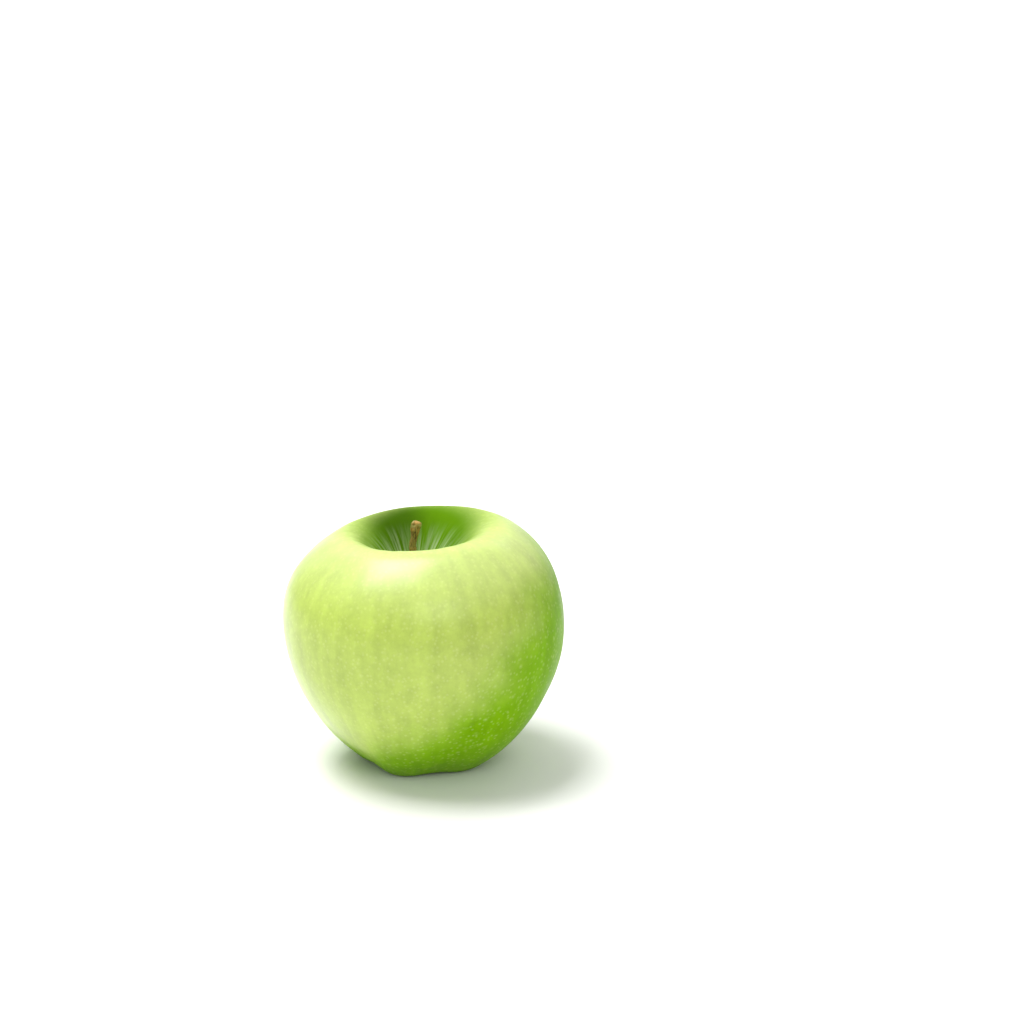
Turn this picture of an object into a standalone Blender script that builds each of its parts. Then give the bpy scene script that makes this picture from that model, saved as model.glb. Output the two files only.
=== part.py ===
"""A green apple with its stem and its dried calyx, standing on the five blunt lobes under it.

The fruit is one solid: an outline turned once round the core and swollen by five lobes, with a
deep hollow round the stem above and a shallow basin round the calyx below. The stem sits in a
short socket in the floor of its hollow. Five withered sepals and a tuft of dry stamens stand in
the basin, clear of the ground.

Metres, +Z up. The front faces -Y. The origin is on the ground under the middle of the fruit.
"""

from math import cos, pi, radians, sin

import bmesh
import bpy
import numpy as np
from mathutils import Vector

MM = 0.001

# The fruit, in millimetres: (distance from the core's axis, height), from the floor of the stem
# hollow, over the shoulder and down the flank, to the roof of the calyx basin.
OUTLINE_MM = (
    (0.0, 51.0),  # floor of the stem hollow
    (3.5, 51.8),
    (8.2, 55.9),  # its wall
    (13.4, 61.3),
    (19.6, 64.1),  # rim, the highest ring
    (28.2, 60.1),  # shoulder
    (35.0, 51.6),
    (37.3, 42.9),  # widest ring, two thirds of the way up
    (35.8, 27.8),  # flank, narrowing downwards
    (27.4, 11.2),
    (18.4, 2.1),
    (14.0, -0.35),  # the ring of feet, cut flat where it meets the ground
    (8.8, 2.0),  # wall of the calyx basin
    (3.6, 6.4),
    (0.0, 7.2),  # its roof
)
OUTLINE_STEPS = 3  # rings between one outline point and the next
SEGMENTS = 60  # a multiple of the five lobes

# How the fruit departs from a turned shape
LOBE_COUNT = 5
LOBE_TURN = radians(36)  # where the first lobe points, from +X
LOBE_TOP = 0.2 * MM  # how far the lobes stand out of the shoulder
LOBE_BASE = 0.8 * MM  # and out of the lower flank
FOOT_ARCH = 0.8 * MM  # how high the ground edge arches between two feet
CHEEK = 2.2 * MM  # the +X cheek is this much fuller, and the -X cheek less full
LOW_LEAN = 0.9 * MM  # the lower flesh sits this far towards the +X cheek
SHOULDER_LIFT = 1.5 * MM  # the +X shoulder is this much higher, and the -X one lower

# The stem
STEM_MM = (  # (x, y, height, radius) along its middle, from the socket to the knob
    (0.0, 0.0, 48.2, 1.25),
    (0.0, 0.0, 51.5, 1.2),
    (-0.2, 0.1, 55.0, 0.95),
    (-0.3, 0.3, 59.0, 0.85),
    (0.0, 0.3, 62.6, 0.9),
    (0.4, 0.2, 65.0, 1.2),
    (0.5, 0.2, 66.5, 1.05),
)
STEM_SIDES = 12
STEM_STEPS = 3  # rings between one point of its middle and the next
SOCKET_GAP = 0.3 * MM
SOCKET_CUT = 9.0 * MM  # length of the bar that cuts the socket, well past the hollow's floor

# The calyx
SEPAL_RING = 3.5 * MM  # radius of the circle that the sepals' feet stand on
SEPAL_WIDTH = 3.4 * MM
SEPAL_THICKNESS = 0.5 * MM
SEPAL_STEPS = 3  # between one point of its curve and the next
SEPAL_CURVE_MM = ((0.0, 0.0), (-0.6, -1.7), (-0.2, -3.1), (1.3, -4.0), (3.0, -4.1))  # (out, up)
SEPAL_SECTION = ((-1, -0.4), (0, -1), (1, -0.4), (1, 0.4), (0, 1), (-1, 0.4))  # of half sizes
TUFT_RADIUS = 1.2 * MM
TUFT_LENGTH = 3.0 * MM
TUFT_FLUTES = 8
SEPAL_ROOF = 6.1 * MM  # top of the sepals, just clear of the basin's wall
TUFT_ROOF = 6.8 * MM  # top of the tuft, just clear of the basin's roof


def clear_scene():
    for obj in list(bpy.data.objects):
        bpy.data.objects.remove(obj, do_unlink=True)


def material(name, colour, roughness):
    made = bpy.data.materials.new(name)
    made.use_nodes = True
    shader = made.node_tree.nodes["Principled BSDF"]
    shader.inputs["Base Color"].default_value = (*colour, 1.0)
    shader.inputs["Roughness"].default_value = roughness
    shader.inputs["Metallic"].default_value = 0.0
    return made


def object_from(name, mesh_data, finish):
    """Turns a bmesh into a named, smooth-shaded object, and frees the bmesh."""
    bmesh.ops.recalc_face_normals(mesh_data, faces=mesh_data.faces)
    mesh = bpy.data.meshes.new(name)
    mesh_data.to_mesh(mesh)
    mesh_data.free()
    mesh.materials.append(finish)
    mesh.shade_smooth()
    mesh.set_sharp_from_angle(angle=radians(40))
    made = bpy.data.objects.new(name, mesh)
    bpy.context.scene.collection.objects.link(made)
    return made


def ease(start, end, value):
    """0 up to start, 1 from end on, and a smooth S between them; start may be the larger."""
    t = np.clip((value - start) / (end - start), 0.0, 1.0)
    return t * t * (3.0 - 2.0 * t)


def catmull_rom(points, steps):
    """The centripetal Catmull-Rom curve through all but the first and the last of points."""
    chords = np.linalg.norm(np.diff(points, axis=0), axis=1)
    knots = np.concatenate([[0.0], np.cumsum(np.sqrt(chords))])

    def blend(a, b, start, end, at):
        share = (at - start) / (end - start)
        return (1.0 - share) * a + share * b

    found = []
    for i in range(1, len(points) - 2):
        p0, p1, p2, p3 = points[i - 1 : i + 3]
        k0, k1, k2, k3 = knots[i - 1 : i + 3]
        at = np.linspace(k1, k2, steps, endpoint=False)[:, None]
        first = blend(p0, p1, k0, k1, at)
        middle = blend(p1, p2, k1, k2, at)
        last = blend(p2, p3, k2, k3, at)
        lower = blend(first, middle, k0, k2, at)
        upper = blend(middle, last, k1, k3, at)
        found.append(blend(lower, upper, k1, k2, at))
    return np.vstack([*found, points[-2:-1]])


def curve_through(points, steps):
    """A centripetal Catmull-Rom curve through points, carried on straight past both ends."""
    points = np.array(points, float)
    before = 2.0 * points[0] - points[1]
    after = 2.0 * points[-1] - points[-2]
    return catmull_rom(np.vstack([before, points, after]), steps)


def fruit_outline():
    """The outline in metres. It meets the axis level at both ends, as if mirrored there."""
    points = np.array(OUTLINE_MM) * MM
    mirror = np.array([-1.0, 1.0])
    return catmull_rom(np.vstack([points[1] * mirror, points, points[-2] * mirror]), OUTLINE_STEPS)


def swollen(radius, turn, height):
    """Moves a point of the turned shape to where the lobes, the cheek and the lean put it."""
    lobe = cos(LOBE_COUNT * (turn - LOBE_TURN))
    upper = ease(35 * MM, 62 * MM, height)
    lower = ease(34 * MM, 4 * MM, height)
    stand_out = (LOBE_TOP * upper + LOBE_BASE * lower) * ease(6 * MM, 20 * MM, radius)
    near_feet = ease(3 * MM, 14 * MM, radius) * ease(27 * MM, 14 * MM, radius)
    side = cos(turn)
    out = radius + stand_out * lobe + CHEEK * side * ease(0.0, 30 * MM, radius)
    up = height + SHOULDER_LIFT * side * upper * ease(0.0, 25 * MM, radius)
    up += FOOT_ARCH * lower * near_feet * (1.0 - lobe) / 2.0
    lean = LOW_LEAN * ease(50 * MM, 14 * MM, height) * ease(3 * MM, 12 * MM, radius)
    return Vector((out * cos(turn) + lean, out * sin(turn), up))


def make_fruit(finish):
    made = bmesh.new()
    outline = fruit_outline()
    corners = [made.verts.new((radius, 0.0, height)) for radius, height in outline]
    edges = [made.edges.new(pair) for pair in zip(corners, corners[1:])]
    bmesh.ops.spin(
        made,
        geom=corners + edges,
        cent=(0.0, 0.0, 0.0),
        axis=(0.0, 0.0, 1.0),
        angle=2 * pi,
        steps=SEGMENTS,
        use_merge=True,
    )
    bmesh.ops.remove_doubles(made, verts=made.verts, dist=0.001 * MM)
    for corner in made.verts:
        flat = Vector((corner.co.x, corner.co.y))
        turn = np.arctan2(flat.y, flat.x)
        corner.co = swollen(flat.length, turn, corner.co.z)
    bmesh.ops.recalc_face_normals(made, faces=made.faces)
    cut_feet_flat(made)
    return object_from("fruit", made, finish)


def cut_feet_flat(made):
    """Cuts the five feet off level with the ground and closes each cut with one flat face."""
    everything = made.verts[:] + made.edges[:] + made.faces[:]
    bmesh.ops.bisect_plane(
        made,
        geom=everything,
        dist=0.0001 * MM,
        plane_co=(0.0, 0.0, 0.0),
        plane_no=(0.0, 0.0, -1.0),
        clear_outer=True,
    )
    rims = [edge for edge in made.edges if edge.is_boundary]
    bmesh.ops.holes_fill(made, edges=rims, sides=0)


def bar_rings(path, sides):
    """Rings round path, rows of (x, y, z, radius), each square to the path there."""
    rings = []
    turns = [2 * pi * k / sides for k in range(sides)]
    for (x, y, z, radius), way in zip(path, np.gradient(path[:, :3], axis=0)):
        way = Vector(way).normalized()
        across = way.cross(Vector((0.0, 1.0, 0.0))).normalized() * float(radius)
        along = way.cross(across)
        rings.append([Vector((x, y, z)) + cos(a) * across + sin(a) * along for a in turns])
    return rings


def loft(rings):
    """A closed solid through rings of equal length, with a flat cap at each end."""
    made = bmesh.new()
    corners = [[made.verts.new(spot) for spot in ring] for ring in rings]
    for lower, upper in zip(corners, corners[1:]):
        for k in range(len(lower)):
            after = (k + 1) % len(lower)
            made.faces.new((lower[k], lower[after], upper[after], upper[k]))
    made.faces.new(corners[0])
    made.faces.new(corners[-1])
    return made


def make_stem(finish):
    path = curve_through(np.array(STEM_MM) * MM, STEM_STEPS)
    return object_from("stem", loft(bar_rings(path, STEM_SIDES)), finish)


def socket_cutter(finish):
    """A round bar, wider than the stem's foot, that reaches from under it into the hollow."""
    made = bmesh.new()
    foot, radius = STEM_MM[0][2] * MM, STEM_MM[0][3] * MM
    bmesh.ops.create_cone(
        made,
        cap_ends=True,
        segments=2 * STEM_SIDES,
        radius1=radius + SOCKET_GAP,
        radius2=radius + SOCKET_GAP,
        depth=SOCKET_CUT,
    )
    cutter = object_from("socket_cutter", made, finish)
    cutter.location.z = foot - SOCKET_GAP + SOCKET_CUT / 2
    cutter.hide_render = True
    cutter.display_type = "WIRE"
    return cutter


def cut_stem_socket(fruit, cutter):
    """Sinks a socket for the stem into the floor of the stem hollow."""
    cut = fruit.modifiers.new("stem socket", "BOOLEAN")
    cut.operation = "DIFFERENCE"
    cut.solver = "EXACT"
    cut.object = cutter


def make_sepal(number, roof, finish):
    """One withered sepal: a thin blade that hangs from the basin's roof and curls outwards."""
    curve = curve_through(np.array(SEPAL_CURVE_MM) * MM, SEPAL_STEPS)
    ways = np.gradient(curve, axis=0)
    ways /= np.linalg.norm(ways, axis=1)[:, None]
    rings = []
    for share, (out, up), (way_out, way_up) in zip(np.linspace(0.0, 1.0, len(curve)), curve, ways):
        half_width = SEPAL_WIDTH / 2 * (1.0 - 0.85 * share**1.5)
        half_thick = SEPAL_THICKNESS / 2 * (1.0 - 0.4 * share)
        ring = []
        for across, through in SEPAL_SECTION:
            x = SEPAL_RING + out - way_up * half_thick * through
            z = roof + up + way_out * half_thick * through
            ring.append((x, across * half_width, z))
        rings.append(ring)
    sepal = object_from(f"sepal_{number}", loft(rings), finish)
    sepal.rotation_euler.z = LOBE_TURN + 2 * pi * (number - 0.5) / LOBE_COUNT
    return sepal


def make_stamen_tuft(roof, finish):
    """The dry stamens, as one fluted cone that hangs point down between the sepals."""
    rings = []
    for share in (0.0, 0.35, 0.7, 1.0):
        ring = []
        for k in range(2 * TUFT_FLUTES):
            flute = 1.0 if k % 2 else 0.72
            radius = TUFT_RADIUS * flute * (1.0 - 0.6 * share)
            turn = pi * k / TUFT_FLUTES
            ring.append((radius * cos(turn), radius * sin(turn), roof - TUFT_LENGTH * share))
        rings.append(ring)
    return object_from("stamen_tuft", loft(rings), finish)


def middle_of(obj):
    """The middle of an object's own box, seen from above."""
    corners = np.array([corner[:2] for corner in obj.bound_box])
    return (corners.min(axis=0) + corners.max(axis=0)) / 2


def main():
    clear_scene()
    skin = material("green apple skin", (0.36, 0.58, 0.07), 0.32)
    bark = material("dry stem bark", (0.22, 0.13, 0.05), 0.75)
    dry_leaf = material("withered sepal", (0.13, 0.08, 0.035), 0.85)
    dry_stamen = material("dry stamen", (0.30, 0.20, 0.10), 0.85)

    fruit = make_fruit(skin)
    cutter = socket_cutter(skin)
    cut_stem_socket(fruit, cutter)
    pieces = [fruit, cutter, make_stem(bark)]
    for number in range(1, LOBE_COUNT + 1):
        pieces.append(make_sepal(number, SEPAL_ROOF, dry_leaf))
    pieces.append(make_stamen_tuft(TUFT_ROOF, dry_stamen))

    core = bpy.data.objects.new("core_axis", None)
    bpy.context.scene.collection.objects.link(core)
    core.location.xy = -middle_of(fruit)
    for piece in pieces:
        piece.parent = core


main()
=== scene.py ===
# %% [markdown]
# # A green apple
# One whole apple stands on the five blunt lobes round its underside. The waxy fruit, the woody
# stem, the five withered sepals and the dry stamens are built here as surfaces worked out with
# numpy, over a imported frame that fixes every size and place.
#
# Each piece is a grid of points: rings that follow one another along the piece, each ring running
# once round it. One function turns such a grid into a closed mesh, so the lesson is in the
# formulas that place the points.

import bpy
import numpy as np
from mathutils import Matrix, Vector


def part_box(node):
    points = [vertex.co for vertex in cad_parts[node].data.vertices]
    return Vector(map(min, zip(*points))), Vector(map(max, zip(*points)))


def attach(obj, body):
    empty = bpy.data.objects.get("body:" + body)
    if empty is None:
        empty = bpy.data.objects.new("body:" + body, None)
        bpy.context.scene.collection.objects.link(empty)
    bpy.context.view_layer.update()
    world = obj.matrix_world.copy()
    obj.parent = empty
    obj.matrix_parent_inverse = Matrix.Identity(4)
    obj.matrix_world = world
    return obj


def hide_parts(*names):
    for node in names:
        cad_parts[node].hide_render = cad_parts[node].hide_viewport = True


MM = 0.001

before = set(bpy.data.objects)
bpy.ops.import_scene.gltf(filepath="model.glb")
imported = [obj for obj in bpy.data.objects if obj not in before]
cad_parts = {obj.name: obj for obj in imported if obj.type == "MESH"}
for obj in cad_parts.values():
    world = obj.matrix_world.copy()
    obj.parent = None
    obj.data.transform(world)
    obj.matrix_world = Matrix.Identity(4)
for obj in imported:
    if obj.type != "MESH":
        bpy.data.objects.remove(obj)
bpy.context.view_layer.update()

# %% Where things are
fruit_low, fruit_high = (np.array(corner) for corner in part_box("fruit"))
tuft_low, tuft_high = (np.array(corner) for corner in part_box("stamen_tuft"))

core_axis = (tuft_low + tuft_high)[:2] / 2  # the stamens stand on the core's own axis
fruit_middle = (fruit_low + fruit_high) / 2
fruit_width = fruit_high[0] - fruit_low[0]
print("core axis at", np.round(core_axis / MM, 2), "mm, fruit", round(fruit_width / MM, 1), "mm wide")

# %% [markdown]
# ## The camera
# The fruit is seen from the front and a little above, so that the stem shows over the near rim of
# its hollow. A long lens from nearly a metre away keeps the near and the far rim alike. The lens
# points past the fruit, which leaves it low and left of the middle of the frame, and so nothing
# has to be shifted.

# %% Camera
CAMERA_DISTANCE = 0.90
CAMERA_PITCH = np.radians(17.0)  # below the horizon
SENSOR_WIDTH = 36.0
FRUIT_SHARE = 0.2731  # of the frame's width that the fruit takes
FRUIT_PLACE = (-0.0862, -0.1266)  # its middle from the frame's middle, in frame widths

ahead = np.array([0.0, np.cos(CAMERA_PITCH), -np.sin(CAMERA_PITCH)])
upward = np.array([0.0, np.sin(CAMERA_PITCH), np.cos(CAMERA_PITCH)])
frame_width = fruit_width / FRUIT_SHARE  # at the fruit's distance
look_at = fruit_middle - frame_width * (FRUIT_PLACE[0] * np.array([1.0, 0, 0]) + FRUIT_PLACE[1] * upward)

lens = bpy.data.cameras.new("studio camera")
lens.sensor_width = SENSOR_WIDTH
lens.lens = SENSOR_WIDTH * CAMERA_DISTANCE / frame_width
lens.clip_start = 0.05
camera = bpy.data.objects.new("studio camera", lens)
camera.location = Vector(look_at - CAMERA_DISTANCE * ahead)
camera.rotation_euler = (np.pi / 2 - CAMERA_PITCH, 0.0, 0.0)
bpy.context.scene.collection.objects.link(camera)
bpy.context.scene.camera = camera
print("lens", round(lens.lens, 1), "mm")

# %% [markdown]
# ## From a grid of points to a mesh
# Everything on this fruit grew as a closed skin, so one builder serves all of it. It takes rings
# of points, joins each ring to the next with four-sided faces, and closes both ends on a pole.
# Blender could also spin or sweep a curve, but a grid lets every point be moved by a formula.

# %% The grid builder
def corners_and_faces(rings, first_number):
    """Corners and faces of one closed skin through rings, an array (ring, place round it, xyz).

    Corner k of ring i has the number i * sides + k. Each face joins corners k and k + 1 of one
    ring with the same two of the next. The first and the last ring are fanned to their mean
    point, a pole. Every number is raised by first_number, the corners made before. The faces
    look outwards when the rings run anticlockwise, seen from beyond the last ring.
    """
    count, sides = rings.shape[:2]
    corners = np.vstack([rings.reshape(-1, 3), rings[[0, -1]].mean(axis=1)])
    here = np.arange(sides)
    after = np.roll(here, -1)
    start = np.arange(count - 1)[:, None] * sides
    quads = np.stack([start + here, start + after, start + sides + after, start + sides + here], axis=-1)
    last_ring, pole = (count - 1) * sides, np.full(sides, count * sides)
    first_fan = np.stack([pole, after, here], axis=-1)
    last_fan = np.stack([pole + 1, last_ring + here, last_ring + after], axis=-1)
    groups = [quads.reshape(-1, 4), first_fan, last_fan]
    return corners, [face for group in groups for face in (group + first_number).tolist()]


def volume_of(rings):
    """The volume inside the rings: a sixth of the triple product of each face's corners."""
    a, b = rings[:-1], rings[1:]
    a_after, b_after = np.roll(a, -1, axis=1), np.roll(b, -1, axis=1)
    first = np.einsum("ijk,ijk->", a, np.cross(a_after, b_after))
    second = np.einsum("ijk,ijk->", a, np.cross(b_after, b))
    return (first + second) / 6


def make_piece(name, skins, stands_for):
    """Makes one piece of the object from closed skins, in place of the frame's plain solid."""
    corners, faces, volume = [], [], 0.0
    for rings in skins:
        new_corners, new_faces = corners_and_faces(rings, sum(len(group) for group in corners))
        corners.append(new_corners)
        faces += new_faces
        volume += volume_of(rings)
    mesh = bpy.data.meshes.new(name)
    mesh.from_pydata(np.vstack(corners), [], faces)
    mesh.shade_smooth()
    piece = bpy.data.objects.new(name, mesh)
    bpy.context.scene.collection.objects.link(piece)
    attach(piece, "root")
    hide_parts(*stands_for)
    assert volume > 0, f"{name} is inside out"
    print(f"{name}: {len(faces)} faces, {volume / MM**3:.1f} mm3")
    return piece


def give_values(piece, name, rings_of_values):
    """Stores one value, or one vector, for each corner, with the two poles taking their rings' mean."""
    values = np.asarray(rings_of_values, np.float32)
    sides = values.shape[1]
    poles = values[[0, -1]].mean(axis=1)
    flat = np.concatenate([values.reshape(-1, *values.shape[2:]), poles])
    kind, field = ("FLOAT_VECTOR", "vector") if values.ndim == 3 else ("FLOAT", "value")
    layer = piece.data.attributes.new(name, kind, "POINT")
    layer.data.foreach_set(field, flat.ravel())
    print(f"{piece.name} carries {name} on {len(flat)} corners, {sides} to a ring")


# %% [markdown]
# ## Smooth lines and soft random fields
# A glossy skin shows the smallest kink in its outline as a broken highlight. The outline is
# therefore a cubic spline, whose curvature runs on through its points. The unevenness of a grown
# thing comes from sums of sine waves in random directions, which are smooth everywhere and come
# out the same each time.

# %% Splines, easing and waves
def ease(start, end, value):
    """0 up to start, 1 from end on, and a smooth S between them; start may be the larger."""
    t = np.clip((value - start) / (end - start), 0.0, 1.0)
    return t * t * (3.0 - 2.0 * t)


def spline(points, steps):
    """The cubic spline through points, sampled steps times between neighbours.

    The bend (second derivative) at each inner point follows from slopes that agree on its two
    sides: chord before / 6 * bend before + both chords / 3 * bend here + chord after / 6 * bend
    after = change of slope here. The bend is 0 at both ends.
    """
    points = np.asarray(points, float)
    chord = np.linalg.norm(np.diff(points, axis=0), axis=1)
    slope = np.diff(points, axis=0) / chord[:, None]
    rule = np.eye(len(points))
    inner = np.arange(1, len(points) - 1)
    rule[inner, inner - 1] = chord[:-1] / 6
    rule[inner, inner] = (chord[:-1] + chord[1:]) / 3
    rule[inner, inner + 1] = chord[1:] / 6
    change = np.zeros_like(points)
    change[1:-1] = np.diff(slope, axis=0)
    bend = np.linalg.solve(rule, change)
    share = np.arange(steps)[None, :, None] / steps
    span = chord[:, None, None]
    start, end = points[:-1, None], points[1:, None]
    sag = (share**3 - share) * bend[1:, None] + ((1 - share) ** 3 - (1 - share)) * bend[:-1, None]
    line = (1 - share) * start + share * end + span**2 / 6 * sag
    return np.vstack([line.reshape(-1, points.shape[1]), points[-1:]])


def evenly(line, count):
    """The same line with count points, equally far apart along it."""
    length = np.concatenate([[0.0], np.cumsum(np.linalg.norm(np.diff(line, axis=0), axis=1))])
    at = np.linspace(0.0, length[-1], count)
    return np.stack([np.interp(at, length, column) for column in line.T], axis=-1)


def waves(places, length, seed, count=12):
    """A soft random field from about -1 to 1: the mean of sine waves near the given length."""
    rng = np.random.default_rng(seed)
    ways = rng.normal(size=(count, 3))
    ways /= np.linalg.norm(ways, axis=1)[:, None]
    pitch = 2 * np.pi / (length * rng.uniform(0.7, 1.5, count))
    phase = rng.uniform(0, 2 * np.pi, count)
    return np.sin(places @ (ways * pitch[:, None]).T + phase).sum(axis=-1) / np.sqrt(2 * count)


def folds(turn, orders, seed):
    """Uneven ribs round a circle: the mean of cosines of whole orders with random phases."""
    rng = np.random.default_rng(seed)
    parts = [rng.uniform(0.6, 1.0) * np.cos(n * turn + rng.uniform(0, 2 * np.pi)) for n in orders]
    return np.sum(parts, axis=0) / np.sqrt(len(orders))


def normals_of(rings):
    """Unit normals, outwards: the way round the piece crossed with the way along it."""
    along = np.gradient(rings, axis=0)
    round_it = np.roll(rings, -1, axis=1) - np.roll(rings, 1, axis=1)
    normal = np.cross(round_it, along)
    return normal / np.maximum(np.linalg.norm(normal, axis=-1, keepdims=True), 1e-12)


# %% [markdown]
# ## The fruit
# An apple is nearly a turned shape. Its flesh swelled round a five-part core, so five low lobes
# run down it and end as feet round the calyx, and it leaned towards the light, so one cheek is
# fuller and one shoulder higher. The outline below is the frame's own. On top of it the surface
# gets what a plain solid lacks: shallow ribs that run down into the stem hollow, puckers drawn
# towards the calyx, a small collar where the stem leaves the flesh, and a slight unevenness.

# %% The outline
OUTLINE_MM = (
    (0.0, 51.0),  # floor of the stem hollow
    (3.5, 51.8),
    (8.2, 55.9),  # its wall
    (13.4, 61.3),
    (19.6, 64.1),  # rim, the highest ring
    (28.2, 60.1),  # shoulder
    (35.0, 51.6),
    (37.3, 42.9),  # widest ring
    (35.8, 27.8),  # flank
    (27.4, 11.2),
    (18.4, 2.1),
    (14.0, -0.35),  # the ring of feet
    (8.8, 2.0),  # wall of the calyx basin
    (3.6, 6.4),
    (0.0, 7.2),  # its roof
)
RINGS, SIDES = 260, 320

outline_points = np.array(OUTLINE_MM) * MM
mirrored = outline_points * [-1, 1]
padded = np.vstack([mirrored[3:0:-1], outline_points, mirrored[-2:-5:-1]])
smooth = spline(padded, 24)[3 * 24 : -3 * 24]
outline = evenly(smooth, RINGS + 2)[1:-1]  # the poles themselves close the mesh
outline_length = np.linalg.norm(np.diff(outline, axis=0), axis=1).sum()
print("outline", round(outline_length / MM, 1), "mm from stem to calyx")

# %% The swollen surface
LOBE_COUNT = 5
LOBE_TURN = np.radians(36)
LOBE_TOP, LOBE_BASE = 0.2 * MM, 0.8 * MM
FOOT_ARCH = 0.8 * MM
CHEEK = 2.2 * MM
LOW_LEAN = 0.9 * MM
SHOULDER_LIFT = 1.5 * MM
FOOT_SOFTNESS = 0.25 * MM  # how gently the skin turns onto the flat of each foot

turn = -np.linspace(0, 2 * np.pi, SIDES, endpoint=False)[None, :]  # anticlockwise from below
radius, height = outline[:, :1], outline[:, 1:]
lobe = np.cos(LOBE_COUNT * (turn - LOBE_TURN))
upper = ease(35 * MM, 62 * MM, height)
lower = ease(34 * MM, 4 * MM, height)
near_feet = ease(3 * MM, 14 * MM, radius) * ease(27 * MM, 14 * MM, radius)
stand_out = (LOBE_TOP * upper + LOBE_BASE * lower) * ease(6 * MM, 20 * MM, radius)

out = radius + stand_out * lobe + CHEEK * np.cos(turn) * ease(0.0, 30 * MM, radius)
up = height + SHOULDER_LIFT * np.cos(turn) * upper * ease(0.0, 25 * MM, radius)
up = up + FOOT_ARCH * lower * near_feet * (1 - lobe) / 2
up = (up + np.sqrt(up**2 + FOOT_SOFTNESS**2)) / 2  # a soft cut level with the ground
lean = LOW_LEAN * ease(50 * MM, 14 * MM, height) * ease(3 * MM, 12 * MM, radius)
skin = np.stack([out * np.cos(turn) + lean, out * np.sin(turn), up + 0 * turn], axis=-1)
skin += np.array([*core_axis, 0.0])
print("skin box in mm:", np.round(np.ptp(skin.reshape(-1, 3), axis=0) / MM, 1))

# %% Ribs, puckers and unevenness
RIB_DEPTH = 0.16 * MM
PUCKER_DEPTH = 0.34 * MM
UNEVEN = 0.13 * MM
COLLAR = 0.5 * MM

ring_share = np.linspace(0.0, 1.0, RINGS)[:, None]
in_hollow = ease(0.22, 0.10, ring_share)  # 1 on the hollow's wall, 0 from the rim outwards
in_basin = ease(0.86, 0.95, ring_share)
clear_of_poles = ease(0.3 * MM, 3.0 * MM, radius)

ribs = folds(turn, (5, 8, 13, 19, 27), seed=4) * in_hollow * clear_of_poles * RIB_DEPTH
crease = 0.5 - np.sqrt(np.sin(LOBE_COUNT / 2 * (turn - LOBE_TURN)) ** 2 + 0.01)
puckers = (crease + 0.45 * folds(turn, (11, 17, 24, 31), seed=9)) * in_basin * clear_of_poles
collar = COLLAR * np.exp(-(((radius - 1.7 * MM) / (0.7 * MM)) ** 2)) * (ring_share < 0.5)
uneven = waves(skin, 26 * MM, seed=3) + 0.35 * waves(skin, 9 * MM, seed=5)
uneven = uneven * UNEVEN * ease(1.5 * MM, 9 * MM, radius) * ease(0.0, 2.5 * MM, skin[..., 2])

relief = ribs - PUCKER_DEPTH * puckers + uneven + collar
skin = skin + relief[..., None] * normals_of(skin)
print("relief from", round(relief.min() / MM, 2), "to", round(relief.max() / MM, 2), "mm")

# %% [markdown]
# ### The fruit as a piece
# Each corner of the fruit also carries values that its colour will need: its place round and along
# the skin in millimetres, so that stripes can run from stem to calyx, and how deep it lies in the
# green and painted shade of the stem hollow, in the painted shadow at the hollow's back left, near
# the stem and near the calyx.

# %% The fruit as a piece
WIDEST_MM = 37  # radius that the places round the skin are laid out on
HOLLOW_GREEN_AND_SHADE_AT = (-1 * MM, 7 * MM)  # the hollow's deep green, partly its own and partly painted shade, reaches onto its back wall,
PAINTED_SHADE_AT = (-8.5 * MM, 15 * MM)  # and a painted shadow darkens the back left, where the least light comes

apple_fruit = make_piece("apple_fruit", [skin], ["fruit"])
across = np.concatenate([np.cos(turn), np.sin(turn)])[None] * WIDEST_MM + np.zeros((RINGS, 1, 1))
along = np.broadcast_to(ring_share * outline_length / MM, (RINGS, SIDES))
give_values(apple_fruit, "skin_place", np.stack([across[:, 0], across[:, 1], along], axis=-1))
inside = ring_share < 0.5  # the upper half, with the stem hollow in it
deep_from = np.hypot(skin[..., 0] - HOLLOW_GREEN_AND_SHADE_AT[0], skin[..., 1] - HOLLOW_GREEN_AND_SHADE_AT[1])
# the hollow's green, partly its own and partly painted shade: centred towards the back wall and carried over
# the near rim
hollow_green_and_shade = np.maximum(ease(25 * MM, 10 * MM, deep_from), 0.85 * ease(20.5 * MM, 13 * MM, radius))
give_values(apple_fruit, "in_hollow", hollow_green_and_shade * inside)
# painted shadow: the back left of the hollow is darkened where little light reaches it
painted_shade_from = np.hypot(skin[..., 0] - PAINTED_SHADE_AT[0], skin[..., 1] - PAINTED_SHADE_AT[1])
give_values(apple_fruit, "hollow_painted_shade", ease(13 * MM, 3 * MM, painted_shade_from) * inside)
near_stem = ease(15 * MM, 6 * MM, radius) * inside
give_values(apple_fruit, "near_stem", np.broadcast_to(near_stem, along.shape))
near_calyx = ease(12 * MM, 4 * MM, radius) * ~inside
give_values(apple_fruit, "in_basin", np.broadcast_to(near_calyx, along.shape))

# %% [markdown]
# ## The stem
# The stem is a short woody stalk, thinnest in the middle. It thickens to a knob where it broke
# from the spur, and it is ridged along its length because it dried and shrank. A curve with a
# bevel would give an even pipe, so it is swept here: a ring is carried along a bent line, its
# radius read from the same spline, and the bark is added as uneven ridges and low bumps.

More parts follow.
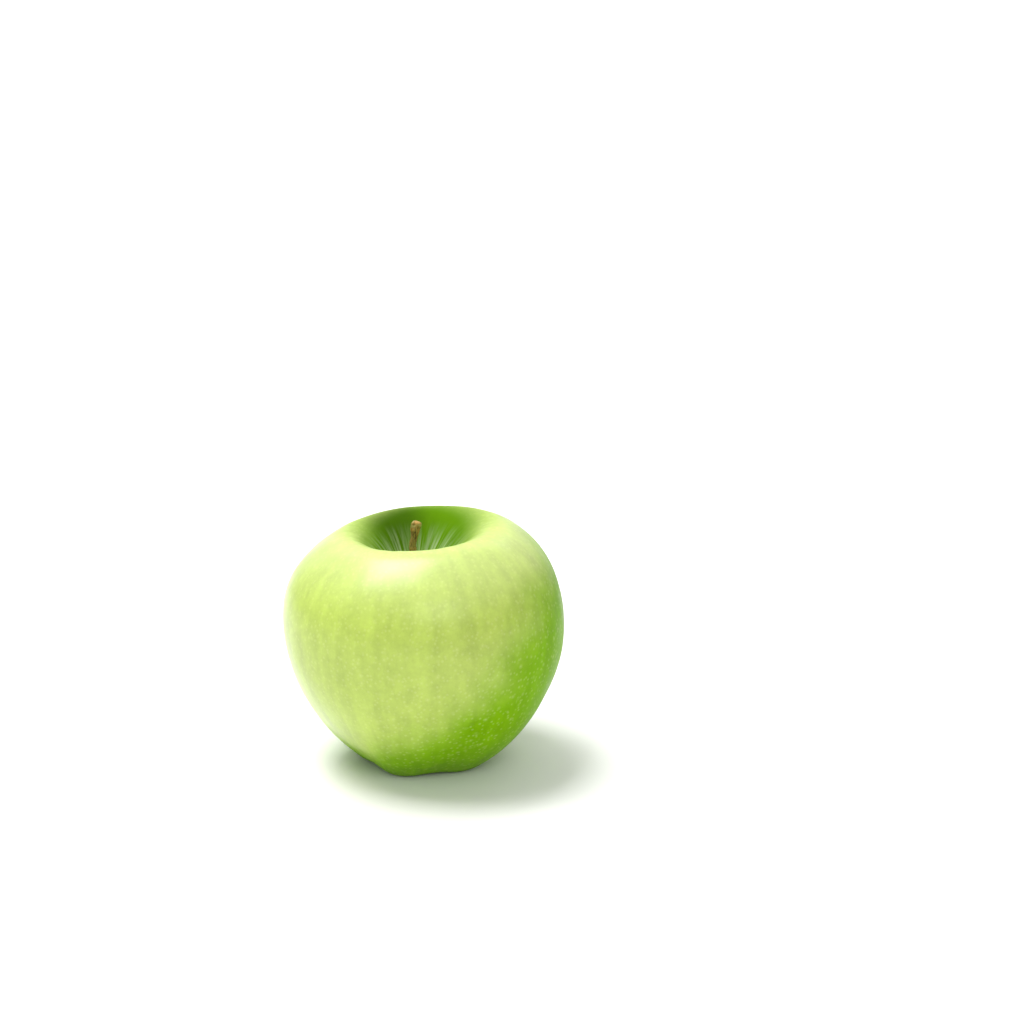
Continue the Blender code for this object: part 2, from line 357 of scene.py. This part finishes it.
# %% Rings along a bent line
def rings_along(line, radii, sides, relief=None):
    """Rings square to a line: middle + radius * (cos a * across + sin a * sideways) for each turn a.

    The way ahead is the line's slope, sideways is the way ahead crossed with the level across
    direction, and relief adds its share of the radius at each place.
    """
    ahead = np.gradient(line, axis=0)
    ahead /= np.linalg.norm(ahead, axis=1)[:, None]
    sideways = np.cross(ahead, [1.0, 0.0, 0.0])
    sideways /= np.linalg.norm(sideways, axis=1)[:, None]
    across = np.cross(sideways, ahead)
    a = np.linspace(0, 2 * np.pi, sides, endpoint=False)[None, :, None]
    reach = radii[:, None] * (1.0 + (0.0 if relief is None else relief))
    ring = np.cos(a) * across[:, None] + np.sin(a) * sideways[:, None]
    return line[:, None] + reach[..., None] * ring


def rounded_ends(distance, length, start, end):
    """A share from 0 to 1 that rounds both ends: the height of a quarter circle start or end long."""
    first = np.clip(distance / start, 0.0, 1.0)
    last = np.clip((length - distance) / end, 0.0, 1.0)
    return np.sqrt(np.maximum(1 - (1 - first) ** 2, 0)) * np.sqrt(np.maximum(1 - (1 - last) ** 2, 0))


# %% The stalk
STEM_MM = (  # (x, y, height, radius) along its middle, from inside the flesh to the knob
    (0.0, 0.0, 48.2, 1.25),
    (0.0, 0.0, 51.5, 1.2),
    (-0.2, 0.1, 55.0, 0.95),
    (-0.3, 0.3, 59.0, 0.85),
    (0.0, 0.3, 62.6, 0.9),
    (0.4, 0.2, 65.0, 1.2),
    (0.5, 0.2, 66.5, 1.05),
)
STEM_RINGS, STEM_SIDES = 170, 72

stalk = evenly(spline(np.array(STEM_MM) * MM, 24), STEM_RINGS)
stalk_line, stalk_radius = stalk[:, :3] + np.array([*core_axis, 0.0]), stalk[:, 3]
stalk_length = np.linalg.norm(np.diff(stalk_line, axis=0), axis=1).sum()
stalk_share = np.linspace(0, 1, STEM_RINGS)[:, None]
stalk_turn = np.linspace(0, 2 * np.pi, STEM_SIDES, endpoint=False)[None, :]

twist = stalk_turn + 1.6 * stalk_share
ridges = 0.10 * folds(twist, (3, 5, 7, 11), seed=2)
knots = 0.13 * waves(rings_along(stalk_line, stalk_radius, STEM_SIDES), 2.1 * MM, seed=8)
knob = ease(0.84, 0.95, stalk_share)
burls = knob * 0.34 * folds(stalk_turn, (1, 2, 3, 5), seed=12)
node_ring = 0.16 * np.exp(-(((stalk_share - 0.58) / 0.025) ** 2))  # an old bud scar
relief = ridges * (1 - 0.5 * knob) + knots + burls + node_ring
ends = rounded_ends(stalk_share[:, 0] * stalk_length, stalk_length, 0.4 * MM, 0.7 * MM)
stem_rings = rings_along(stalk_line, np.maximum(stalk_radius * ends, 0.02 * MM), STEM_SIDES, relief)
apple_stem = make_piece("apple_stem", [stem_rings], ["stem"])
stalk_place = np.stack([np.cos(stalk_turn) + 0 * stalk_share, np.sin(stalk_turn) + 0 * stalk_share,
                        stalk_share * stalk_length / MM + 0 * stalk_turn], axis=-1)
give_values(apple_stem, "bark_place", stalk_place)
give_values(apple_stem, "to_knob", stalk_share + 0 * stalk_turn)

# %% [markdown]
# ## The withered calyx
# When the blossom fell, its five green sepals stayed and dried. Each is a small pointed leaf,
# curled back at the tip and cupped across, with a wavy edge. One formula makes a leaf as a
# flattened tube, and each of the five gets its own seed for its waves, curl and lean.

# %% The sepals
SEPAL_RING = 3.5 * MM
SEPAL_WIDTH = 3.4 * MM
SEPAL_THICKNESS = 0.42 * MM
SEPAL_ROOF = 6.5 * MM
SEPAL_CURVE_MM = ((0.0, 0.0), (-0.6, -1.7), (-0.2, -3.1), (1.3, -4.0), (3.0, -4.1))  # (out, up)
SEPAL_RINGS, SEPAL_SIDES = 64, 44


def sepal_rings(number):
    """Rings of one flattened tube along the sepal's curve, turned to its place round the core.

    Half widths shrink as 1 - 0.93 s^1.5, to a narrow tip. The cup pushes a point along the leaf's normal by
    the square of how far across it lies, and the edge waves grow with the same square.
    """
    rng = np.random.default_rng(40 + number)
    curve_points = np.array(SEPAL_CURVE_MM) + rng.normal(0, 0.16, (5, 2)) * [[0], [1], [1], [1.6], [2.4]]
    curve = evenly(spline(curve_points * MM, 12), SEPAL_RINGS)
    slope = np.gradient(curve, axis=0)
    slope /= np.linalg.norm(slope, axis=1)[:, None]
    s = np.linspace(0, 1, SEPAL_RINGS)[:, None]
    a = -np.linspace(0, 2 * np.pi, SEPAL_SIDES, endpoint=False)[None, :]
    half_width = SEPAL_WIDTH / 2 * (1 - 0.93 * s**1.5) * (0.86 + 0.14 * np.sin(np.pi * s))
    half_thick = SEPAL_THICKNESS / 2 * (1 - 0.55 * s)
    across = half_width * np.cos(a) * (1 + 0.06 * np.sin(19 * s + rng.uniform(0, 6)))
    edge = (across / (SEPAL_WIDTH / 2)) ** 2
    wave = 0.22 * MM * np.sin(11 * s + 2 * np.sign(across) + rng.uniform(0, 6)) * edge
    vein = 0.05 * MM * np.cos(across / (0.32 * MM))
    through = half_thick * np.sin(a) + wave + vein - 0.55 * MM * edge * rng.uniform(0.5, 1.4)
    lean = rng.uniform(-0.35, 0.35) * s**2 * MM * 2
    out = SEPAL_RING + curve[:, :1] + slope[:, 1:] * through
    up = SEPAL_ROOF + curve[:, 1:] - slope[:, :1] * through
    side = across + lean
    place = LOBE_TURN + 2 * np.pi * (number - 0.5) / LOBE_COUNT
    x = out * np.cos(place) - side * np.sin(place) + core_axis[0]
    y = out * np.sin(place) + side * np.cos(place) + core_axis[1]
    return np.stack([x, y, up], axis=-1)


sepals = []
for number in range(1, LOBE_COUNT + 1):
    rings = sepal_rings(number)
    sepals.append(make_piece(f"withered_sepal_{number}", [rings], [f"sepal_{number}"]))

# %% [markdown]
# ## The stamens
# A ring of some twenty dry threads is left inside the sepals, each with the rest of its anther at
# the tip. They are thin tubes, bent outwards a little, and all of them make up one piece.

# %% The stamens
STAMEN_COUNT = 22
STAMEN_ROOF = 7.4 * MM
STAMEN_RINGS, STAMEN_SIDES = 18, 8


def stamen_rings(number):
    """Rings of one thread: a line that spreads as the square of its length, and swells at its end."""
    rng = np.random.default_rng(70 + number)
    place = 2 * np.pi * number / STAMEN_COUNT * 1.618 * 4 + rng.normal(0, 0.1)
    start = MM * (0.35 + 0.75 * (number % 3) / 2)
    spread = MM * rng.uniform(-0.25, 0.75)
    length = MM * rng.uniform(2.5, 3.9)
    s = np.linspace(0, 1, STAMEN_RINGS)
    out = start + spread * s**2
    bend = place + rng.uniform(-0.7, 0.7) * s**2
    line = np.stack([out * np.cos(bend), out * np.sin(bend), STAMEN_ROOF - length * s], axis=-1)
    thread = MM * (0.10 + 0.13 * np.exp(-(((s - 0.9) / 0.07) ** 2)))
    thread = thread * rounded_ends(s, 1.0, 0.02, 0.05) + 0.004 * MM
    return rings_along(line + np.array([*core_axis, 0.0]), thread, STAMEN_SIDES)


stamens = make_piece("stamens", [stamen_rings(n) for n in range(STAMEN_COUNT)], ["stamen_tuft"])

# %% [markdown]
# ## Materials
# Each finish starts from what the real surface is. Colours are written as sRGB hex values and
# turned linear by one function, and patterns are sized in millimetres. One small function adds a
# shader node with its settings and its links.

# %% Colour and node helpers
def colour(hex_value):
    """Linear RGBA from an sRGB hex value: a straight part near black, and a power of 2.4 above it."""
    parts = np.array([int(hex_value[i : i + 2], 16) for i in (1, 3, 5)]) / 255
    linear = np.where(parts <= 0.04045, parts / 12.92, ((parts + 0.055) / 1.055) ** 2.4)
    return (*linear.tolist(), 1.0)


def add(tree, kind, settings=None, links=None):
    """Adds one node. A setting is a property or an input's value, and a link names what feeds an input."""
    made = tree.nodes.new("ShaderNode" + kind)
    for key, value in (settings or {}).items():
        if isinstance(key, str) and hasattr(made, key):
            setattr(made, key, value)
        else:
            made.inputs[key].default_value = value
    for key, source in (links or {}).items():
        tree.links.new(source, made.inputs[key])
    return made


def start_material(name):
    """A new material, its node tree, its Principled shader, and Object coordinates in millimetres."""
    material = bpy.data.materials.new(name)
    material.use_nodes = True
    tree = material.node_tree
    shader = tree.nodes["Principled BSDF"]
    place = add(tree, "TexCoord").outputs["Object"]
    in_mm = add(tree, "Mapping", {"Scale": (1 / MM,) * 3}, {"Vector": place}).outputs[0]
    return material, tree, shader, in_mm


# %% [markdown]
# ### Waxy green skin
# The skin is a thin clear wax over green cells, and light goes a little way in before it comes
# back out, so the shader has some subsurface and a soft coat. Its colour isn't even: the side that
# saw the sun is yellower, and the colour is also painted paler where the lights fall and deeper
# green on the shaded side. Faint stripes run from stem to calyx, small pale corky dots (lenticels)
# let it breathe, and the stem hollow stays dark green, partly its own colour and partly painted
# shade, with a painted shadow at its back left and pale streaks where the skin was stretched round
# the stem. On the lit shoulder the wax stands thick and milky, which is called bloom, and a painted
# highlight haze is mixed in there too.
# A real skin also carries a peel of dimples well under 0.1 mm. They are drawn coarser here, at
# 0.7 mm, and kept very low.

# %% Waxy green skin
# the sun side's yellow and the other side's leaf green, which also stand for painted light and painted shade;
# the hollow's deep green, partly painted shade, and its painted shadow
SUN_AND_LIT_GREEN, LEAF_AND_SHADE_GREEN, HOLLOW_GREEN_AND_SHADE_COLOUR = colour("#B4CA5A"), colour("#79AB00"), colour("#527C00")
PAINTED_SHADE_GREEN = colour("#385900")
PALE_STREAK, LENTICEL, BASIN_YELLOW = colour("#A8B98A"), colour("#DDE79A"), colour("#B4BE2C")
# a milky pale green, partly wax bloom and partly a painted highlight haze
BLOOM_AND_SHEEN = colour("#E3EAC0")
SUN_AND_LIGHT_WAY = (-0.62, -0.35, 0.70)  # the way to the sun, and to the side painted as lit: left, a little to the front, and up

skin_material, tree, shader, in_mm = start_material("waxy green skin")
skin_place = add(tree, "Attribute", {"attribute_name": "skin_place"}).outputs["Vector"]
hollow = add(tree, "Attribute", {"attribute_name": "in_hollow"}).outputs["Fac"]
basin = add(tree, "Attribute", {"attribute_name": "in_basin"}).outputs["Fac"]

# the sun-facing cheek is yellower, and the colour is also painted light: paler where the lights fall and
# deeper green on the shaded side; its edge is broken up by soft patches 14 mm long
sun_and_light_facing = add(tree, "VectorMath", {"operation": "DOT_PRODUCT", 1: SUN_AND_LIGHT_WAY}, {0: in_mm})
patches = add(tree, "TexNoise", {"Scale": 1 / 14, "Detail": 3.0}, {"Vector": in_mm})
patch_shift = add(tree, "Math", {"operation": "MULTIPLY_ADD", 1: 16.0, 2: -8.0}, {0: patches.outputs["Fac"]})
sun_and_light_sum = add(tree, "Math", {"operation": "ADD"}, {0: sun_and_light_facing.outputs["Value"], 1: patch_shift.outputs[0]})
sun_and_light_share = add(tree, "MapRange", {"interpolation_type": "SMOOTHSTEP", 1: 12.0, 2: 33.0},
                {0: sun_and_light_sum.outputs[0]})
ground = add(tree, "Mix", {"data_type": "RGBA", 6: LEAF_AND_SHADE_GREEN, 7: SUN_AND_LIT_GREEN}, {0: sun_and_light_share.outputs[0]})

# faint stripes 4 mm wide and six times as long, and clouds 4.5 mm across that break into mottling
stripe_place = add(tree, "Mapping", {"Scale": (1, 1, 0.16)}, {"Vector": skin_place})
stripes = add(tree, "TexNoise", {"Scale": 1 / 4, "Detail": 3.0}, {"Vector": stripe_place.outputs[0]})
mottle = add(tree, "TexNoise", {"Scale": 1 / 4.5, "Detail": 7.0, "Roughness": 0.82},
             {"Vector": in_mm})
stripe_mix = add(tree, "Mix", {0: 0.6}, {2: stripes.outputs["Fac"], 3: mottle.outputs["Fac"]})
shade = add(tree, "MapRange", {1: 0.36, 2: 0.64, 3: 0.81, 4: 1.10}, {0: stripe_mix.outputs[0]})
striped = add(tree, "VectorMath", {"operation": "SCALE"}, {0: ground.outputs[2], "Scale": shade.outputs[0]})

# the hollow: deep green, partly its own colour and partly painted shade, darkest in a painted shadow at the
# back left, with pale streaks 1 mm wide that narrow towards the stem
hollow_painted_shade = add(tree, "Attribute", {"attribute_name": "hollow_painted_shade"}).outputs["Fac"]
wall = add(tree, "Mix", {"data_type": "RGBA", 6: HOLLOW_GREEN_AND_SHADE_COLOUR, 7: PAINTED_SHADE_GREEN}, {0: hollow_painted_shade})
deep = add(tree, "Mix", {"data_type": "RGBA"}, {0: hollow, 6: striped.outputs[0], 7: wall.outputs[2]})
ray_place = add(tree, "Mapping", {"Scale": (0.62, 0.62, 0.10)}, {"Vector": skin_place})
rays = add(tree, "TexNoise", {"Scale": 0.5, "Detail": 4.0, "Roughness": 0.65},
           {"Vector": ray_place.outputs[0]})
ray_share = add(tree, "MapRange", {1: 0.42, 2: 0.70, 3: 0.0, 4: 0.9}, {0: rays.outputs["Fac"]})
ray_reach = add(tree, "Attribute", {"attribute_name": "near_stem"}).outputs["Fac"]
ray_mask = add(tree, "Math", {"operation": "MULTIPLY"}, {0: ray_share.outputs[0], 1: ray_reach})
rayed = add(tree, "Mix", {"data_type": "RGBA", 7: PALE_STREAK},
            {0: ray_mask.outputs[0], 6: deep.outputs[2]})

# the basin: yellower towards the calyx
basin_share = add(tree, "Math", {"operation": "MULTIPLY", 1: 0.8}, {0: basin})
basined = add(tree, "Mix", {"data_type": "RGBA", 7: BASIN_YELLOW},
              {0: basin_share.outputs[0], 6: rayed.outputs[2]})

# bloom and painted sheen: the lit shoulder turns milky, partly the wax's bloom, which stands thickest there,
# and partly a painted highlight haze
height_mm = add(tree, "SeparateXYZ", links={0: in_mm}).outputs["Z"]
shoulder = add(tree, "MapRange", {"interpolation_type": "SMOOTHSTEP", 1: 48.0, 2: 63.0}, {0: height_mm})
outside = add(tree, "Math", {"operation": "SUBTRACT", 0: 1.0}, {1: hollow})
bloom_and_sheen_top = add(tree, "Math", {"operation": "MULTIPLY"}, {0: shoulder.outputs[0], 1: outside.outputs[0]})
bloom_and_sheen_sum = add(tree, "Math", {"operation": "MULTIPLY"}, {0: bloom_and_sheen_top.outputs[0], 1: sun_and_light_share.outputs[0]})
bloom_and_sheen_share = add(tree, "Math", {"operation": "MULTIPLY", 1: 0.20}, {0: bloom_and_sheen_sum.outputs[0]})
bloom_and_sheen = add(tree, "Mix", {"data_type": "RGBA", 7: BLOOM_AND_SHEEN},
              {0: bloom_and_sheen_share.outputs[0], 6: basined.outputs[2]})

# lenticels: dots up to 0.7 mm across in cells 2.4 mm wide, each in a paler halo, some strong and
# some hardly there
CELL, FINE_CELL = 2.4, 1.3
dots = add(tree, "TexVoronoi", {"Scale": 1 / CELL, "Randomness": 1.0}, {"Vector": in_mm})
dot = add(tree, "MapRange",
          {"interpolation_type": "SMOOTHSTEP", 1: 0.40 / CELL, 2: 0.10 / CELL, 3: 0.0, 4: 0.26},
          {0: dots.outputs["Distance"]})
halo = add(tree, "MapRange",
           {"interpolation_type": "SMOOTHSTEP", 1: 0.9 / CELL, 2: 0.3 / CELL, 3: 0.0, 4: 0.10},
           {0: dots.outputs["Distance"]})
cell_strength = add(tree, "MapRange", {1: 0.25, 2: 0.75, 3: 0.1, 4: 1.2}, {0: dots.outputs["Color"]})
dot_shape = add(tree, "Math", {"operation": "MAXIMUM"}, {0: dot.outputs[0], 1: halo.outputs[0]})
dot_sum = add(tree, "Math", {"operation": "MULTIPLY"},
              {0: dot_shape.outputs[0], 1: cell_strength.outputs[0]})
fine_dots = add(tree, "TexVoronoi", {"Scale": 1 / FINE_CELL, "Randomness": 1.0}, {"Vector": in_mm})
fine_dot = add(tree, "MapRange",
               {"interpolation_type": "SMOOTHSTEP", 1: 0.42, 2: 0.10, 3: 0.0, 4: 0.17},
               {0: fine_dots.outputs["Distance"]})
all_dots = add(tree, "Math", {"operation": "MAXIMUM"}, {0: dot_sum.outputs[0], 1: fine_dot.outputs[0]})
dot_mask = add(tree, "Math", {"operation": "MULTIPLY"}, {0: all_dots.outputs[0], 1: outside.outputs[0]})
dotted = add(tree, "Mix", {"data_type": "RGBA", 7: LENTICEL}, {0: dot_mask.outputs[0], 6: bloom_and_sheen.outputs[2]})
tree.links.new(dotted.outputs[2], shader.inputs["Base Color"])

WAX_IOR = 1.44  # usual for plant wax

# the wax: uneven gloss, rubbed duller on the crest round the hollow, and a peel too fine to see
# that softens every highlight
peel = add(tree, "TexNoise", {"Scale": 1 / 0.7, "Detail": 2.0}, {"Vector": in_mm})
wax = add(tree, "TexNoise", {"Scale": 1 / 9, "Detail": 3.0}, {"Vector": in_mm})
gloss = add(tree, "MapRange", {1: 0.35, 2: 0.65, 3: 0.30, 4: 0.42}, {0: wax.outputs["Fac"]})
dulled = add(tree, "Mix", {3: 0.75}, {0: hollow, 2: gloss.outputs[0]})
tree.links.new(dulled.outputs[0], shader.inputs["Roughness"])
flat_place = add(tree, "VectorMath", {"operation": "MULTIPLY", 1: (1, 1, 0)}, {0: in_mm})
from_core = add(tree, "VectorMath", {"operation": "LENGTH"}, {0: flat_place.outputs[0]}).outputs["Value"]
unrubbed = add(tree, "MapRange", {"interpolation_type": "SMOOTHSTEP", 1: 18.0, 2: 27.0, 3: 0.15},
               {0: from_core})
wax_side = add(tree, "Math", {"operation": "MULTIPLY"}, {0: sun_and_light_share.outputs[0], 1: outside.outputs[0]})
wax_sum = add(tree, "Math", {"operation": "MULTIPLY"}, {0: wax_side.outputs[0], 1: unrubbed.outputs[0]})
wax_coat = add(tree, "MapRange", {1: 0.2, 3: 0.0, 4: 1.0}, {0: wax_sum.outputs[0]})
tree.links.new(wax_coat.outputs[0], shader.inputs["Coat Weight"])
peel_height = add(tree, "Math", {"operation": "MULTIPLY_ADD", 1: 0.5},
                  {0: dot.outputs[0], 2: peel.outputs["Fac"]})
bump = add(tree, "Bump", {"Strength": 0.12, "Distance": 0.06 * MM}, {"Height": peel_height.outputs[0]})
tree.links.new(bump.outputs[0], shader.inputs["Normal"])
shader.inputs["IOR"].default_value = WAX_IOR
shader.inputs["Subsurface Weight"].default_value = 0.10
shader.inputs["Subsurface Radius"].default_value = (0.9, 1.0, 0.25)
shader.inputs["Subsurface Scale"].default_value = 2.2 * MM
shader.inputs["Specular IOR Level"].default_value = 0.04  # nearly all the gloss is the wax's own
shader.inputs["Coat Roughness"].default_value = 0.31
shader.inputs["Coat IOR"].default_value = WAX_IOR
apple_fruit.data.materials.append(skin_material)
print("skin material:", len(tree.nodes), "nodes")

# %% [markdown]
# ### Dry stem bark
# The stalk is wood under a thin bark: olive brown low down, where it is still alive, and cracked
# and peeling above, with tan corky scars on the knob. Dry bark scatters nearly all its light, so
# it is rough throughout, and roughest in its dark cracks.

# %% Dry stem bark
BARK, BARK_DARK, OLIVE, SCAR = colour("#A68F40"), colour("#46330F"), colour("#8A8A2A"), colour("#ACA058")
PEELING = colour("#B98A3C")

bark_material, tree, shader, in_mm = start_material("dry stem bark")
bark_place = add(tree, "Attribute", {"attribute_name": "bark_place"}).outputs["Vector"]
to_knob = add(tree, "Attribute", {"attribute_name": "to_knob"}).outputs["Fac"]
fibre_place = add(tree, "Mapping", {"Scale": (3.0, 3.0, 0.7)}, {"Vector": bark_place})
fibres = add(tree, "TexNoise", {"Scale": 1.0, "Detail": 5.0, "Roughness": 0.65},
             {"Vector": fibre_place.outputs[0]})
fibre_share = add(tree, "MapRange", {1: 0.36, 2: 0.62}, {0: fibres.outputs["Fac"]})
barked = add(tree, "Mix", {"data_type": "RGBA", 6: BARK_DARK, 7: BARK}, {0: fibre_share.outputs[0]})
olive_share = add(tree, "MapRange", {1: 0.72, 2: 0.40, 3: 0.0, 4: 0.55}, {0: to_knob})
olived = add(tree, "Mix", {"data_type": "RGBA", 7: OLIVE},
             {0: olive_share.outputs[0], 6: barked.outputs[2]})
patches = add(tree, "TexNoise", {"Scale": 1 / 1.6, "Detail": 2.0}, {"Vector": in_mm})
patch_share = add(tree, "MapRange", {1: 0.46, 2: 0.60, 3: 0.0, 4: 0.7}, {0: patches.outputs["Fac"]})
patched = add(tree, "Mix", {"data_type": "RGBA", 7: PEELING},
              {0: patch_share.outputs[0], 6: olived.outputs[2]})
scars = add(tree, "TexNoise", {"Scale": 1 / 1.3, "Detail": 3.0}, {"Vector": in_mm})
scar_share = add(tree, "MapRange", {1: 0.50, 2: 0.60}, {0: scars.outputs["Fac"]})
near_knob = add(tree, "MapRange", {1: 0.70, 2: 0.92}, {0: to_knob})
scar_mask = add(tree, "Math", {"operation": "MULTIPLY"}, {0: scar_share.outputs[0], 1: near_knob.outputs[0]})
scarred = add(tree, "Mix", {"data_type": "RGBA", 7: SCAR}, {0: scar_mask.outputs[0], 6: patched.outputs[2]})
tree.links.new(scarred.outputs[2], shader.inputs["Base Color"])
rough = add(tree, "MapRange", {3: 0.82, 4: 0.58}, {0: fibre_share.outputs[0]})
tree.links.new(rough.outputs[0], shader.inputs["Roughness"])
bump = add(tree, "Bump", {"Strength": 0.8, "Distance": 0.12 * MM}, {"Height": fibres.outputs["Fac"]})
tree.links.new(bump.outputs[0], shader.inputs["Normal"])
apple_stem.data.materials.append(bark_material)

# %% [markdown]
# ### Withered sepals and dry stamens
# Both are dead leaf tissue, dull and brittle. The sepals are dark brown with a pale felt of hairs
# left on them; the stamens are tan with darker patches.

# %% Withered sepals and dry stamens
def dry_tissue(name, dark, light, patch_mm, low, high):
    """A dull material whose colour wanders between dark and light in patches of the given size."""
    material, tree, shader, in_mm = start_material(name)
    patches = add(tree, "TexNoise", {"Scale": 1 / patch_mm, "Detail": 5.0, "Roughness": 0.7},
                  {"Vector": in_mm})
    share = add(tree, "MapRange", {1: low, 2: high}, {0: patches.outputs["Fac"]})
    tissue = add(tree, "Mix", {"data_type": "RGBA", 6: dark, 7: light}, {0: share.outputs[0]})
    tree.links.new(tissue.outputs[2], shader.inputs["Base Color"])
    rough = add(tree, "MapRange", {3: 0.92, 4: 0.75}, {0: share.outputs[0]})
    tree.links.new(rough.outputs[0], shader.inputs["Roughness"])
    bump = add(tree, "Bump", {"Strength": 0.7, "Distance": 0.1 * MM}, {"Height": patches.outputs["Fac"]})
    tree.links.new(bump.outputs[0], shader.inputs["Normal"])
    return material


sepal_material = dry_tissue("withered sepal", colour("#2E1D0C"), colour("#8F7B4C"), 0.5, 0.42, 0.72)
stamen_material = dry_tissue("dry stamen", colour("#5A3D18"), colour("#C39A5A"), 0.4, 0.35, 0.6)
for sepal in sepals:
    sepal.data.materials.append(sepal_material)
stamens.data.materials.append(stamen_material)

# %% [markdown]
# ## Floor and light
# A plain pale floor curves up far behind the fruit. A wide soft light hangs over the fruit and a
# little to its left, which puts the highlight on the near shoulder. A fill in front keeps the
# flank bright, a weak one on the left lifts that edge, and one far behind whitens the backdrop.

# %% Floor
FLOOR_BACK = 1.6
FLOOR_BEND = 0.6
FLOOR_HALF_WIDTH = 3.0

bend_turn = np.linspace(0, np.pi / 2, 24)
sweep_y = np.concatenate([[-3.0], FLOOR_BACK + FLOOR_BEND * np.sin(bend_turn), [FLOOR_BACK + FLOOR_BEND]])
sweep_z = np.concatenate([[0.0], FLOOR_BEND * (1 - np.cos(bend_turn)), [3.0]])
sweep = [(x, y, z) for x in (-FLOOR_HALF_WIDTH, FLOOR_HALF_WIDTH) for y, z in zip(sweep_y, sweep_z)]
strips = len(sweep_y)
floor_mesh = bpy.data.meshes.new("studio floor")
floor_mesh.from_pydata(sweep, [], [(k, strips + k, strips + k + 1, k + 1) for k in range(strips - 1)])
floor_mesh.shade_smooth()
floor = bpy.data.objects.new("studio_floor", floor_mesh)
bpy.context.scene.collection.objects.link(floor)

paper, tree, shader, in_mm = start_material("pale paper")
fibre = add(tree, "TexNoise", {"Scale": 1 / 40, "Detail": 2.0}, {"Vector": in_mm})
tone = add(tree, "Mix", {"data_type": "RGBA", 6: colour("#F4F4F2"), 7: colour("#F8F8F6")},
           {0: fibre.outputs["Fac"]})
tree.links.new(tone.outputs[2], shader.inputs["Base Color"])
shader.inputs["Roughness"].default_value = 0.9
floor_mesh.materials.append(paper)

# %% Lights
def soft_light(name, place, size, watts, aim=(0.0, 0.0, 0.035)):
    """A rectangular soft light at place, facing aim."""
    data = bpy.data.lights.new(name, "AREA")
    data.shape = "RECTANGLE"
    data.size, data.size_y = size
    data.energy = watts
    light = bpy.data.objects.new(name, data)
    light.location = place
    light.rotation_euler = (Vector(aim) - Vector(place)).to_track_quat("-Z", "Y").to_euler()
    bpy.context.scene.collection.objects.link(light)


soft_light("overhead light", (-0.27, 0.11, 0.90), (0.60, 0.50), 10.8)
soft_light("left light", (-0.9, -0.5, 0.5), (0.7, 0.7), 0.4)
soft_light("front fill", (0.35, -1.2, 0.9), (1.0, 0.8), 6.2)
soft_light("backdrop light", (0.0, 1.5, 1.3), (2.4, 0.6), 14.0, aim=(0.0, 1.7, 0.0))

world = bpy.data.worlds.new("studio air")
world.use_nodes = True
world.node_tree.nodes["Background"].inputs["Color"].default_value = (1.0, 1.0, 1.0, 1.0)
world.node_tree.nodes["Background"].inputs["Strength"].default_value = 0.40
bpy.context.scene.world = world
bpy.context.scene.view_settings.view_transform = "Standard"
